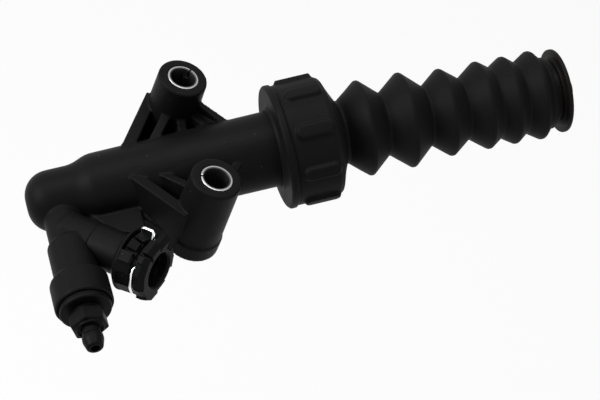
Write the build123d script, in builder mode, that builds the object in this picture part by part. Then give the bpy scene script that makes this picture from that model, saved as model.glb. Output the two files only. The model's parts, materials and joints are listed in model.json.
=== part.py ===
from build123d import *
from math import cos, pi, radians, sin, sqrt
import os

os.makedirs("parts", exist_ok=True)

# Clutch slave cylinder, in millimetres. X runs along the cylinder bore towards the push rod and Z is up.
# The origin is on the bore's axis, where the plane of the two leaning bolt bores crosses it.

# Clearances and fits
running_gap = 0.05
seat_gap = 0.02
free_gap = 0.3
swivel_gap = 0.1

# Tube and domed head
bore_r = 9.525
bore_floor_x = -36.0
tube_mouth_x = 46.0
tube_root_r = 12.65
tube_mouth_r = 13.2
shoulder_x = -28.9
neck_x = -38.0
head_r = 10.45
head_tip_x = -53.3
head_round = 8.5
passage_r = 2.0
boot_bead_height = 1.9
boot_bead_width = 3.6
boot_bead_setback = 0.8

# Mounting lugs, each built on a plane that leans towards the rod
lug_lean = 19.0
lug_offset_y = 22.1
lug_top = 22.0
lug_length = 32.0
boss_top_r = 8.4
boss_foot_r = 8.95
foot_r = 9.4
foot_height = 6.0
rib_width = 3.1
rib_drop = 11.2
outer_wall = 2.9
outer_wall_inset = 0.25
gusset_width = 2.5
gusset_drop = 7.6
gusset_tip_drop = 8.0

# Rolled bush in each lug
bush_r = 5.25
bush_wall = 1.0
bush_slit = 0.55
bush_step = 2.4

# Bleed port, square to the bore and raised a little from level
port_x = -42.8
port_raise = 5.0
stub_r = 6.25
stub_length = 21.0
barrel_r = 7.4
barrel_length = 13.9
cup_r = 9.45
cup_end = 46.8
cup_rim = 1.1
cup_recess = 1.6
bleed_thread_r = 4.9
bleed_seat_depth = 33.5
bleed_seal_width = 1.7
bleed_seal_setback = 4.0
port_web = 3.0
port_web_corners = ((6.8, 9.0), (13.5, 17.8), (17.0, 21.3), (23.8, 13.0), (23.8, 5.0), (6.8, 5.0))

# Bleed valve
flange_height = 3.2
valve_gap = 1.4
hex_across_flats = 11.0
hex_height = 5.8
hex_turn = -20.0
nipple_length = 7.6
nipple_r = 3.4
nipple_neck_r = 2.7
nipple_tip_r = 2.4
nipple_hole_r = 1.45

# Pipe port, branching off the bleed stub
branch_along = 14.3
branch_angle = 45.0
branch_r = 6.9
branch_length = 12.0
spigot_r = 4.6
spigot_length = 5.6

# Pipe socket
sleeve_r = 7.1
sleeve_length = 11.2
collar_r = 10.8
collar_length = 6.1
collar_lip = 2.2
collar_taper = 1.9
collar_taper_depth = 2.2
core_r = 8.4
slot_width = 1.9
post_half_width = 4.0
slot_low = 6.2
slot_high = 7.8
ring_length = 4.8
ring_notch = 1.0
ring_notches = ((17.0, 20.0), (71.0, 38.0), (143.0, 20.0), (197.0, 20.0), (251.0, 38.0), (323.0, 20.0))
ring_recess = 2.2
ring_recess_start = 256.0
ring_recess_size = 28.0
window_starts = (50.0, 104.0, 176.0, 236.0, 296.0)
window_sizes = (42.0, 38.0, 24.0, 24.0, 24.0)
socket_r = 5.9
entry_depth = 7.7
seal_bore_r = 5.5
socket_depth = 15.0
seal_width = 2.0
spacer_width = 2.4
spacer_inner_r = 4.5
seal_inner_r = 4.2

# Wire clip in the socket's slot
wire_r = 0.6
clip_half = (
    (6.5, -8.8),
    (8.4, -4.2),
    (8.85, -1.2),
    (7.3, 1.8),
    (5.35, 3.6),
    (7.9, 6.4),
    (5.75, 10.6),
    (2.25, 15.4),
)
clip_bend = 0.8

# Piston and what it carries
piston_length = 26.0
piston_setback = 4.1
ball_r = 5.0
ball_from_face = 9.0
swivel_wall = 1.2
swivel_open = 2.6
snap_lip = 0.45
pad_r = 5.85
pad_back = 8.4
stop_ring_width = 1.1
stop_ring_depth = 0.9
stop_ring_inner_r = 8.0
guide_setback = 0.9
guide_split_width = 0.8
guide_split_angle = 60.0

# Preload spring
spring_wire_r = 0.75
spring_r = 7.0
spring_turns = 6
spring_cup_r = 8.4
spring_cup_thickness = 1.2

# Push rod, tilted about its ball as the photographed one hangs
rod_tilt = 2.3
rod_r = 4.0
rod_neck_r = 3.1
rod_neck_end = 8.5
rod_step = 1.0
disc_r = 14.8
disc_thickness = 1.5
disc_from_ball = 101.0
dome_base_r = 8.0
dome_height = 4.8
hub_r = 10.4
hub_length = 6.6
hub_lip_r = 12.0
hub_lip = 0.8

# Rubber boot
cuff_start_x = 32.4
cuff_rim_r = 21.5
cuff_rim_width = 2.6
cuff_r = 21.0
cuff_end_x = 52.2
pad_count = 9
pad_phase = 39.2
pad_middle = 11.4
pad_height = 1.3
pad_width = 5.2
pad_length = 13.0
boot_wall = 1.5
neck_sink = 0.35
boot_pivot_x = 56.0
boot_tilt = 3.05
fold_x = (64.2, 79.2, 93.6, 107.0, 116.6, 126.2)
fold_r = (16.7, 16.7, 15.4, 15.5, 15.5, 15.7)
valley_x = (56.0, 71.5, 86.9, 100.2, 111.6, 120.9)
valley_r = (10.9, 11.0, 10.9, 10.9, 12.7, 12.7)
fold_round = 0.9
boot_collar_x = 130.9
boot_collar_r = 12.7
boot_collar_width = 1.5


def turned(plane, points, mode=Mode.ADD):
    """Turn a closed outline of (radius, height) points about the plane's Y axis."""
    with BuildSketch(plane) as outline:
        with BuildLine():
            Polyline(*points, close=True)
        make_face()
    revolve(outline.sketch, axis=Axis(plane.origin, plane.y_dir), mode=mode)


def along_x(points, mode=Mode.ADD):
    """Turn a closed outline of (x, radius) points about the bore's axis."""
    with BuildSketch(Plane.XZ) as outline:
        with BuildLine():
            Polyline(*points, close=True)
        make_face()
    revolve(outline.sketch, axis=Axis.X, mode=mode)


def tilted_axis(pivot_x, angle):
    """A plane whose X axis leaves the bore's axis at pivot_x and leans towards -Y."""
    lean = radians(angle)
    return Plane(origin=(pivot_x, 0, 0), x_dir=(cos(lean), -sin(lean), 0), z_dir=(0, 0, 1))


def along(plane, points, mode=Mode.ADD):
    """Turn a closed outline of (distance, radius) points about the plane's X axis."""
    with BuildSketch(plane) as outline:
        with BuildLine():
            Polyline(*points, close=True)
        make_face()
    revolve(outline.sketch, axis=Axis(plane.origin, plane.x_dir), mode=mode)


def sector(plane, inner_r, outer_r, start, size, height, mode=Mode.ADD):
    """Extrude a piece of a ring that begins at the start angle."""
    with BuildSketch(plane) as piece:
        with BuildLine():
            outer = CenterArc((0, 0), outer_r, start, size)
            inner = CenterArc((0, 0), inner_r, start, size)
            Line(outer @ 0, inner @ 0)
            Line(outer @ 1, inner @ 1)
        make_face()
    extrude(piece.sketch, amount=height, mode=mode)


# Axes of the ports
port_lift = radians(port_raise)
bleed_dir = Vector(0, -cos(port_lift), sin(port_lift))
bleed_foot = Vector(port_x, 0, 0)
bleed_plane = Plane(origin=bleed_foot, x_dir=(1, 0, 0), z_dir=(0, -sin(port_lift), -cos(port_lift)))
branch = radians(branch_angle)
pipe_dir = Vector(1, 0, 0) * cos(branch) + bleed_dir * sin(branch)
pipe_side = Vector(1, 0, 0) * sin(branch) - bleed_dir * cos(branch)
pipe_foot = bleed_foot + bleed_dir * branch_along
pipe_plane = Plane(origin=pipe_foot, x_dir=pipe_side, z_dir=pipe_side.cross(pipe_dir))


def across_bleed(height):
    """The plane square to the bleed port, at a height along it."""
    return Plane(origin=bleed_foot + bleed_dir * height, x_dir=(1, 0, 0), z_dir=bleed_dir)


def across_pipe(height):
    """The plane square to the pipe port, at a height along it."""
    return Plane(origin=pipe_foot + pipe_dir * height, x_dir=pipe_side, z_dir=pipe_dir)


# Levels along the bleed port
barrel_end = stub_length + barrel_length
cup_start = barrel_end + (cup_r - barrel_r)
cup_floor = cup_end - cup_recess
cup_recess_r = cup_r - cup_rim
flange_base = cup_floor + seat_gap
flange_top = flange_base + flange_height
hex_base = flange_top + valve_gap
hex_top = hex_base + hex_height
nipple_end = hex_top + nipple_length
flange_r = cup_recess_r - free_gap

# Levels along the pipe port
sleeve_start = branch_length + seat_gap
collar_start = sleeve_start + sleeve_length
slot_start = collar_start + collar_length
ring_start = slot_start + slot_width
ring_end = ring_start + ring_length
socket_floor = ring_end - socket_depth
entry_start = ring_end - entry_depth
spacer_end = socket_floor + seal_width + spacer_width

# Levels along the bore
piston_rest_x = tube_mouth_x - piston_setback
piston_back_x = piston_rest_x - piston_length
ball_x = piston_rest_x - ball_from_face
stop_ring_x = piston_rest_x + free_gap
bead_start_x = tube_mouth_x - boot_bead_setback - boot_bead_width
boot_bead_r = tube_mouth_r + boot_bead_height

# Lug plane: X away from the lean's foot, Y across the part, Z along the bolt bore
lean = radians(lug_lean)
lug_x = Vector(cos(lean), 0, -sin(lean))
lug_z = Vector(sin(lean), 0, cos(lean))
lug_foot = lug_top - lug_length
foot_top = lug_foot + foot_height
rib_top = lug_top - rib_drop


def lug_level(height):
    """The plane square to the far lug's bolt bore, at a height along it."""
    return Plane(origin=Vector(0, lug_offset_y, 0) + lug_z * height, x_dir=lug_x, z_dir=lug_z)


def rib(turn, near_top, far_top, far_at, width):
    """A web that runs from the boss to the tube, turned about the bolt bore from the way to the tube."""
    way = lug_x * sin(radians(turn)) + Vector(0, -1, 0) * cos(radians(turn))
    slope = (far_top - near_top) / (far_at - boss_top_r)
    reach = lug_offset_y / cos(radians(turn)) - passage_r
    with BuildSketch(Plane(origin=(0, lug_offset_y, 0), x_dir=way, z_dir=way.cross(lug_z))) as web:
        with BuildLine():
            Polyline(
                (boss_top_r / 2, lug_foot + passage_r),
                (boss_top_r / 2, near_top),
                (boss_top_r, near_top),
                (reach, near_top + slope * (reach - boss_top_r)),
                (reach, lug_foot + passage_r),
                close=True,
            )
        make_face()
    extrude(web.sketch, amount=width / 2, both=True)


# One lug, without its bore
fan = ((-35.0, -3.1, 17.0), (2.0, -2.1, 11.9), (36.0, 0.9, 14.2))
wall_turn = radians(32.0)
wall_along = lug_x * -sin(wall_turn) + Vector(0, -1, 0) * cos(wall_turn)
wall_out = lug_x * -cos(wall_turn) + Vector(0, 1, 0) * sin(wall_turn)
wall_length = 24.5
wall_fall = 4.4
wall_top = rib_top - 1.4
foot_turn = radians(38.0)
foot_reach = 27.0
gusset_turn = radians(42.0)
gusset_foot = (6.4, -4.4)
gusset_length = 15.0

with BuildPart() as lug:
    with BuildSketch(lug_level(foot_top)) as boss_low:
        Circle(boss_foot_r)
    with BuildSketch(lug_level(lug_top)) as boss_high:
        Circle(boss_top_r)
    loft()
    chamfer(lug.faces().sort_by(Axis(origin=(0, 0, 0), direction=lug_z))[-1].edges(), 0.35)
    # Foot and floor plate, its rod side flush with the gusset
    gusset_half = gusset_width / 2
    gusset_heel = (
        gusset_foot[0] + gusset_half * cos(gusset_turn),
        gusset_foot[1] + gusset_half * sin(gusset_turn),
    )
    gusset_tip = (
        gusset_heel[0] + gusset_length * sin(gusset_turn),
        gusset_heel[1] - gusset_length * cos(gusset_turn),
    )
    tangent_u = -foot_r * cos(foot_turn)
    tangent_v = foot_r * sin(foot_turn)
    with BuildSketch(lug_level(lug_foot)) as foot:
        Circle(foot_r)
        with BuildLine():
            Polyline(
                (tangent_u, tangent_v),
                (tangent_u - foot_reach * sin(foot_turn), tangent_v - foot_reach * cos(foot_turn)),
                (gusset_tip[0] - 2.5, tangent_v - foot_reach * cos(foot_turn)),
                (gusset_tip[0] - 2.5, gusset_tip[1] + 2.5),
                gusset_heel,
                close=True,
            )
        make_face()
    extrude(amount=foot_height)
    # Outer wall, tangent to the boss
    wall_origin = Vector(0, lug_offset_y, 0) + wall_out * (boss_foot_r - outer_wall_inset)
    with BuildSketch(Plane(origin=wall_origin, x_dir=wall_along, z_dir=wall_along.cross(lug_z))) as wall:
        with BuildLine():
            Polyline(
                (0, lug_foot + 1),
                (0, wall_top),
                (wall_length, wall_top - wall_fall),
                (wall_length, lug_foot + 1),
                close=True,
            )
        make_face()
    extrude(wall.sketch, amount=-outer_wall)
    # Fan of ribs
    for turn, rise, reach in fan:
        rib(turn, rib_top, rib_top + rise, reach, rib_width)
    # Gusset on the rod side
    gusset_way = lug_x * sin(gusset_turn) + Vector(0, -1, 0) * cos(gusset_turn)
    gusset_origin = Vector(0, lug_offset_y + gusset_foot[1], 0) + lug_x * gusset_foot[0]
    with BuildSketch(Plane(origin=gusset_origin, x_dir=gusset_way, z_dir=gusset_way.cross(lug_z))) as gusset:
        with BuildLine():
            Polyline(
                (0, foot_top - 3),
                (0, lug_top - gusset_drop),
                (gusset_length, lug_top - gusset_tip_drop),
                (gusset_length, foot_top - 3),
                close=True,
            )
        make_face()
    extrude(amount=gusset_width / 2, both=True)

# Housing: tube, head, lugs and ports, moulded as one
with BuildPart() as housing:
    with BuildSketch(Plane.XZ) as shell:
        with BuildLine():
            Line((head_tip_x, 0), (head_tip_x, head_r - head_round))
            RadiusArc((head_tip_x, head_r - head_round), (head_tip_x + head_round, head_r), head_round)
            Line((head_tip_x + head_round, head_r), (neck_x, head_r))
            Spline((neck_x, head_r), (shoulder_x, tube_root_r), tangents=[(1, 0), (1, 0.02)])
            Polyline(
                (shoulder_x, tube_root_r),
                (bead_start_x, tube_mouth_r),
                (bead_start_x + 0.6, boot_bead_r),
                (bead_start_x + boot_bead_width - 1.0, boot_bead_r),
                (bead_start_x + boot_bead_width, tube_mouth_r),
                (tube_mouth_x, tube_mouth_r),
                (tube_mouth_x, 0),
                (head_tip_x, 0),
            )
        make_face()
    revolve(axis=Axis.X)
    add(lug.part)
    mirror(lug.part, about=Plane.XZ)
    # Bleed stub, barrel and cup
    turned(
        bleed_plane,
        [
            (0, 0),
            (stub_r, 0),
            (stub_r, stub_length - 0.7),
            (barrel_r, stub_length + 0.5),
            (barrel_r, barrel_end),
            (cup_r, cup_start),
            (cup_r, cup_end - 0.5),
            (cup_r - 0.5, cup_end),
            (0, cup_end),
        ],
    )
    # Branch for the pipe
    turned(pipe_plane, [(0, 0), (branch_r, 0), (branch_r, branch_length), (0, branch_length)])
    # Web in the plane of the ports
    with BuildSketch(bleed_plane) as port_corner:
        with BuildLine():
            Polyline(*port_web_corners, close=True)
        make_face()
    extrude(port_corner.sketch, amount=port_web / 2, both=True)
    # Cylinder bore with its lead-in and the stop ring's groove
    along_x(
        [
            (bore_floor_x, 0),
            (bore_floor_x, bore_r),
            (tube_mouth_x - 0.8, bore_r),
            (tube_mouth_x, bore_r + 0.8),
            (tube_mouth_x + 1, bore_r + 0.8),
            (tube_mouth_x + 1, 0),
        ],
        Mode.SUBTRACT,
    )
    along_x(
        [
            (stop_ring_x - seat_gap, bore_r - 1),
            (stop_ring_x - seat_gap, bore_r + stop_ring_depth),
            (stop_ring_x + stop_ring_width + seat_gap, bore_r + stop_ring_depth),
            (stop_ring_x + stop_ring_width + seat_gap, bore_r - 1),
        ],
        Mode.SUBTRACT,
    )
    # Fluid passages
    along_x(
        [
            (port_x, 0),
            (port_x, passage_r),
            (bore_floor_x + 1, passage_r),
            (bore_floor_x + 1, 0),
        ],
        Mode.SUBTRACT,
    )
    turned(
        bleed_plane,
        [
            (0, 0),
            (passage_r, 0),
            (passage_r, bleed_seat_depth - (bleed_thread_r - passage_r)),
            (bleed_thread_r, bleed_seat_depth),
            (bleed_thread_r, cup_floor),
            (cup_recess_r, cup_floor),
            (cup_recess_r, cup_end + 1),
            (0, cup_end + 1),
        ],
        Mode.SUBTRACT,
    )
    turned(
        pipe_plane,
        [
            (0, 0),
            (passage_r, 0),
            (passage_r, branch_length - spigot_length),
            (spigot_r, branch_length - spigot_length),
            (spigot_r, branch_length),
            (sleeve_r + seat_gap, branch_length),
            (sleeve_r + seat_gap, collar_start),
            (0, collar_start),
        ],
        Mode.SUBTRACT,
    )
    # Bolt bores
    for side in (1, -1):
        bolt_plane = Plane(origin=Vector(0, side * lug_offset_y, 0) + lug_z * lug_foot, x_dir=lug_x, z_dir=lug_z)
        with BuildSketch(bolt_plane) as bolt_hole:
            Circle(bush_r + seat_gap)
        extrude(bolt_hole.sketch, amount=lug_length, mode=Mode.SUBTRACT)
housing.part.label = "housing"
export_step(housing.part, "parts/housing.step")

# Rolled bushes: the near one has a straight slit, the far one a stepped seam
for bush_name, side, seam, step in (("near_lug_bush", -1, 162.0, 0.0), ("far_lug_bush", 1, 35.0, bush_step)):
    bush_foot = Vector(0, side * lug_offset_y, 0) + lug_z * lug_foot
    bush_middle = bush_foot + lug_z * lug_length / 2
    foot_plane = Plane(origin=bush_foot, x_dir=lug_x, z_dir=lug_z)
    middle_plane = Plane(origin=bush_middle, x_dir=lug_x, z_dir=lug_z)
    slit_angle = bush_slit / bush_r * 180 / pi
    step_angle = step / bush_r * 180 / pi
    with BuildPart() as bush:
        with BuildSketch(foot_plane) as tube_ring:
            Circle(bush_r)
            Circle(bush_r - bush_wall, mode=Mode.SUBTRACT)
        extrude(amount=lug_length)
        sector(foot_plane, bush_r - 2 * bush_wall, bush_r + 1, seam, slit_angle, lug_length / 2, Mode.SUBTRACT)
        sector(
            middle_plane,
            bush_r - 2 * bush_wall,
            bush_r + 1,
            seam + step_angle,
            slit_angle,
            lug_length / 2,
            Mode.SUBTRACT,
        )
        if step:
            sector(
                middle_plane,
                bush_r - 2 * bush_wall,
                bush_r + 1,
                seam,
                step_angle + slit_angle,
                bush_slit,
                Mode.SUBTRACT,
            )
    bush.part.label = bush_name
    export_step(bush.part, f"parts/{bush_name}.step")

# Bleed valve: cone, sealed shank, flange, hexagon and hose nipple
shank_r = bleed_thread_r - running_gap
cone_tip_r = passage_r - 0.5
cone_start = bleed_seat_depth - (shank_r - cone_tip_r) + 0.15
groove_r = shank_r - 1.2
seal_end = cup_floor - bleed_seal_setback
seal_start = seal_end - bleed_seal_width
with BuildPart() as bleed_valve:
    turned(
        bleed_plane,
        [
            (0, cone_start),
            (cone_tip_r, cone_start),
            (shank_r, bleed_seat_depth + 0.15),
            (shank_r, seal_start),
            (groove_r, seal_start),
            (groove_r, seal_end),
            (shank_r, seal_end),
            (shank_r, flange_base),
            (flange_r, flange_base),
            (flange_r, flange_top - 0.5),
            (flange_r - 0.5, flange_top),
            (hex_across_flats / 2 - 1.3, flange_top),
            (hex_across_flats / 2 - 1.3, hex_base + 0.5),
            (0, hex_base + 0.5),
        ],
    )
    with BuildSketch(across_bleed(hex_base)) as hexagon:
        RegularPolygon(hex_across_flats / 2, 6, major_radius=False, rotation=hex_turn)
    extrude(amount=hex_height)
    chamfer(bleed_valve.faces().sort_by(Axis(origin=(0, 0, 0), direction=bleed_dir))[-1].edges(), 0.4)
    turned(
        bleed_plane,
        [
            (0, hex_top - 1),
            (nipple_r - 0.2, hex_top - 1),
            (nipple_r - 0.2, hex_top + 0.6),
            (nipple_neck_r, hex_top + 1.0),
            (nipple_neck_r, hex_top + 1.9),
            (nipple_r, hex_top + 2.8),
            (nipple_r, hex_top + 3.6),
            (nipple_tip_r, nipple_end - 0.3),
            (nipple_tip_r - 0.3, nipple_end),
            (0, nipple_end),
        ],
    )
    with BuildSketch(across_bleed(nipple_end)) as nipple_hole:
        Circle(nipple_hole_r)
    extrude(nipple_hole.sketch, amount=-(nipple_end - bleed_seat_depth - 3), mode=Mode.SUBTRACT)
    cross_hole = bleed_foot + bleed_dir * (bleed_seat_depth + 3.8)
    with BuildSketch(Plane(origin=cross_hole, x_dir=bleed_dir, z_dir=(1, 0, 0))) as bleed_hole:
        Circle(nipple_hole_r / 2)
    extrude(bleed_hole.sketch, amount=bleed_thread_r, both=True, mode=Mode.SUBTRACT)
bleed_valve.part.label = "bleed_valve"
export_step(bleed_valve.part, "parts/bleed_valve.step")

# O-ring on the bleed valve's shank
with BuildPart() as bleed_seal:
    seal_outer = bleed_thread_r - seat_gap
    seal_inner = groove_r + seat_gap
    turned(
        bleed_plane,
        [
            (seal_inner, seal_start + seat_gap),
            (seal_outer, seal_start + seat_gap),
            (seal_outer, seal_end - seat_gap),
            (seal_inner, seal_end - seat_gap),
        ],
    )
bleed_seal.part.label = "bleed_seal"
export_step(bleed_seal.part, "parts/bleed_seal.step")

# Pipe socket: spigot, sleeve, castellated collar, slot for the clip and end ring
spigot_start = branch_length - spigot_length + 0.1
spigot_groove = spigot_start + 1.5
spigot_land = spigot_groove + seal_width - 0.2
spigot_outer_r = spigot_r - seat_gap
spigot_groove_r = spigot_r - 1.3
with BuildPart() as pipe_socket:
    turned(
        pipe_plane,
        [
            (0, spigot_start),
            (spigot_outer_r, spigot_start),
            (spigot_outer_r, spigot_groove),
            (spigot_groove_r, spigot_groove),
            (spigot_groove_r, spigot_land),
            (spigot_outer_r, spigot_land),
            (spigot_outer_r, sleeve_start),
            (sleeve_r, sleeve_start),
            (sleeve_r, collar_start),
            (collar_r - collar_taper_depth, collar_start),
            (collar_r, collar_start + collar_taper),
            (collar_r, slot_start - 0.6),
            (collar_r - 0.6, slot_start),
            (core_r, slot_start),
            (core_r, ring_start),
            (collar_r - 0.5, ring_start),
            (collar_r, ring_start + 0.5),
            (collar_r, ring_end - 1.2),
            (collar_r - 1.2, ring_end),
            (0, ring_end),
        ],
    )
    for window_start, window_size in zip(window_starts, window_sizes):
        sector(
            across_pipe(collar_start + collar_lip),
            core_r,
            collar_r + 1,
            window_start,
            window_size,
            slot_start - collar_start,
            Mode.SUBTRACT,
        )
    for notch_start, notch_size in ring_notches:
        sector(
            across_pipe(ring_start - slot_width / 2),
            collar_r - ring_notch,
            collar_r + 1,
            notch_start,
            notch_size,
            ring_length + slot_width,
            Mode.SUBTRACT,
        )
    sector(
        across_pipe(ring_start - slot_width / 2),
        collar_r - ring_recess,
        collar_r + 1,
        ring_recess_start,
        ring_recess_size,
        ring_length + slot_width,
        Mode.SUBTRACT,
    )
    turned(
        pipe_plane,
        [
            (0, spigot_start - 1),
            (passage_r, spigot_start - 1),
            (passage_r, socket_floor),
            (seal_bore_r, socket_floor),
            (seal_bore_r, entry_start),
            (socket_r, entry_start),
            (socket_r, ring_end - 0.8),
            (socket_r + 0.8, ring_end),
            (socket_r + 0.8, ring_end + 1),
            (0, ring_end + 1),
        ],
        Mode.SUBTRACT,
    )
    # Side windows for the clip's legs leave a post at the top and one at the bottom
    with BuildSketch(across_pipe(slot_start)) as windows:
        window_x = collar_r / 2 + post_half_width
        window_y = (slot_high - slot_low) / 2
        with Locations((window_x, window_y), (-window_x, window_y)):
            Rectangle(collar_r, slot_low + slot_high)
    extrude(windows.sketch, amount=slot_width, mode=Mode.SUBTRACT)
pipe_socket.part.label = "pipe_socket"
export_step(pipe_socket.part, "parts/pipe_socket.step")

# Seals and spacer in the socket
for ring_name, inner_r, outer_r, start, end in (
    ("socket_seal", seal_inner_r, seal_bore_r, socket_floor, socket_floor + seal_width),
    ("socket_spacer", spacer_inner_r, seal_bore_r, socket_floor + seal_width, spacer_end),
    ("joint_seal", spigot_groove_r + seat_gap, spigot_r, spigot_groove, spigot_land),
):
    with BuildPart() as ring:
        turned(
            pipe_plane,
            [
                (inner_r, start + seat_gap),
                (outer_r - seat_gap, start + seat_gap),
                (outer_r - seat_gap, end - seat_gap),
                (inner_r, end - seat_gap),
            ],
        )
    ring.part.label = ring_name
    export_step(ring.part, f"parts/{ring_name}.step")

# Clip bent from wire: a bridge outside the collar and two bowed legs
clip_level = across_pipe(slot_start + slot_width / 2)
clip_path = [*clip_half, *((-u, v) for u, v in reversed(clip_half))]
clip_start = clip_level.from_local_coords(Vector(*clip_half[0]))
clip_way = clip_level.from_local_coords(Vector(*clip_half[1])) - clip_start
with BuildPart() as pipe_clip:
    with BuildLine(clip_level) as clip_line:
        FilletPolyline(*clip_path, radius=clip_bend)
    with BuildSketch(Plane(origin=clip_start, x_dir=pipe_dir, z_dir=clip_way)) as wire:
        RegularPolygon(wire_r, 6)
    sweep(wire.sketch, path=clip_line.line)
pipe_clip.part.label = "pipe_clip"
export_step(pipe_clip.part, "parts/pipe_clip.step")

# Piston with its seal and guide grooves, and the ball's snap socket
piston_r = bore_r - running_gap
cup_groove_x = piston_back_x + 2.6
cup_groove_end = cup_groove_x + 3.4
cup_groove_r = piston_r - 2.2
guide_groove_x = ball_x - 1.6
guide_groove_end = guide_groove_x + 4.0
guide_groove_r = piston_r - 1.0
swivel_r = ball_r + swivel_gap + swivel_wall
swivel_seat_r = swivel_r + running_gap
snap_r = swivel_seat_r - snap_lip
snap_x = ball_x + sqrt(swivel_seat_r**2 - snap_r**2)
pad_bore_r = pad_r + seat_gap
pad_bore_x = ball_x - sqrt(swivel_seat_r**2 - pad_bore_r**2)
pad_floor_x = ball_x - pad_back
cup_spigot_r = 2.45
cup_spigot_end = piston_back_x - 3.4
with BuildPart() as piston:
    with BuildSketch(Plane.XZ) as piston_half:
        with BuildLine():
            Polyline(
                (pad_floor_x, 0),
                (cup_spigot_end, 0),
                (cup_spigot_end, cup_spigot_r),
                (piston_back_x, cup_spigot_r),
                (piston_back_x, piston_r - 0.6),
                (piston_back_x + 0.6, piston_r),
                (cup_groove_x, piston_r),
                (cup_groove_x, cup_groove_r),
                (cup_groove_end, cup_groove_r),
                (cup_groove_end, piston_r),
                (guide_groove_x, piston_r),
                (guide_groove_x, guide_groove_r),
                (guide_groove_end, guide_groove_r),
                (guide_groove_end, piston_r),
                (piston_rest_x - 0.4, piston_r),
                (piston_rest_x, piston_r - 0.4),
                (piston_rest_x, piston_r - 1.4),
                (snap_x + 1.2, snap_r),
                (snap_x, snap_r),
            )
            ThreePointArc(
                (snap_x, snap_r),
                (ball_x, swivel_seat_r),
                (pad_bore_x, pad_bore_r),
            )
            Polyline((pad_bore_x, pad_bore_r), (pad_floor_x, pad_bore_r), (pad_floor_x, 0))
        make_face()
    revolve(axis=Axis.X)
piston.part.label = "piston"
export_step(piston.part, "parts/piston.step")

# Lip seal and guide ring on the piston
with BuildPart() as piston_cup_seal:
    along_x(
        [
            (cup_groove_x + seat_gap, cup_groove_r + seat_gap),
            (cup_groove_x + seat_gap, cup_groove_r + 0.7),
            (cup_groove_x + 1.6, cup_groove_r + 1.1),
            (cup_groove_x + seat_gap, bore_r - 0.7),
            (cup_groove_x + seat_gap, bore_r - seat_gap),
            (cup_groove_end - 0.8, bore_r - seat_gap),
            (cup_groove_end - seat_gap, bore_r - 0.5),
            (cup_groove_end - seat_gap, cup_groove_r + seat_gap),
        ]
    )
piston_cup_seal.part.label = "piston_cup_seal"
export_step(piston_cup_seal.part, "parts/piston_cup_seal.step")

with BuildPart() as piston_guide_ring:
    along_x(
        [
            (guide_groove_x + seat_gap, guide_groove_r + seat_gap),
            (guide_groove_x + seat_gap, bore_r - seat_gap),
            (guide_groove_end - seat_gap, bore_r - seat_gap),
            (guide_groove_end - seat_gap, guide_groove_r + seat_gap),
        ]
    )
    with BuildSketch(Plane.XY) as guide_split:
        with Locations(((guide_groove_x + guide_groove_end) / 2, piston_r)):
            Rectangle(1.5 * (guide_groove_end - guide_groove_x), guide_split_width, rotation=guide_split_angle)
    extrude(guide_split.sketch, amount=bore_r, mode=Mode.SUBTRACT)
piston_guide_ring.part.label = "piston_guide_ring"
export_step(piston_guide_ring.part, "parts/piston_guide_ring.step")

# Hard pad behind the ball
with BuildPart() as ball_seat:
    pad_front_x = pad_bore_x - 0.3
    pad_front_r = sqrt(swivel_seat_r**2 - (ball_x - pad_front_x) ** 2)
    with BuildSketch(Plane.XZ) as pad_half:
        with BuildLine():
            Polyline(
                (ball_x - swivel_seat_r, 0),
                (pad_floor_x + seat_gap, 0),
                (pad_floor_x + seat_gap, pad_r),
                (pad_front_x, pad_r),
                (pad_front_x, pad_front_r),
            )
            RadiusArc((pad_front_x, pad_front_r), (ball_x - swivel_seat_r, 0), -swivel_seat_r)
        make_face()
    revolve(axis=Axis.X)
ball_seat.part.label = "ball_seat"
export_step(ball_seat.part, "parts/ball_seat.step")

# Split plastic cup snapped over the ball, tilting with it
rod_plane = tilted_axis(ball_x, rod_tilt)
with BuildPart() as rod_cup:
    with Locations((ball_x, 0, 0)):
        Sphere(swivel_r)
        Sphere(ball_r + swivel_gap, mode=Mode.SUBTRACT)
    with BuildSketch(Plane.YZ.offset(ball_x + swivel_open)) as cup_mouth:
        Circle(2 * swivel_r)
    extrude(cup_mouth.sketch, amount=swivel_r, mode=Mode.SUBTRACT)
    with BuildSketch(Plane.YZ.offset(ball_x - 0.5)) as cup_slits:
        Rectangle(3 * swivel_r, 0.7)
        Rectangle(0.7, 3 * swivel_r)
    extrude(cup_slits.sketch, amount=swivel_r, mode=Mode.SUBTRACT)
rod_cup.part.label = "rod_cup"
export_step(rod_cup.part, "parts/rod_cup.step")

# Push rod with its ball
spigot_end = disc_from_ball + 1.0
hub_start = disc_from_ball - hub_length
with BuildPart() as pushrod:
    with BuildSketch(rod_plane) as rod_half:
        with BuildLine():
            neck_at = sqrt(ball_r**2 - rod_neck_r**2)
            RadiusArc((-ball_r, 0), (neck_at, rod_neck_r), ball_r)
            Polyline(
                (neck_at, rod_neck_r),
                (rod_neck_end, rod_neck_r),
                (rod_neck_end + rod_step, rod_r),
                (hub_start - 0.5, rod_r),
                (hub_start - 0.5, rod_neck_r),
                (spigot_end - 0.5, rod_neck_r),
                (spigot_end, rod_neck_r - 0.5),
                (spigot_end, 0),
                (-ball_r, 0),
            )
        make_face()
    revolve(rod_half.sketch, axis=Axis(rod_plane.origin, rod_plane.x_dir))
pushrod.part.label = "pushrod"
export_step(pushrod.part, "parts/pushrod.step")

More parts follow.
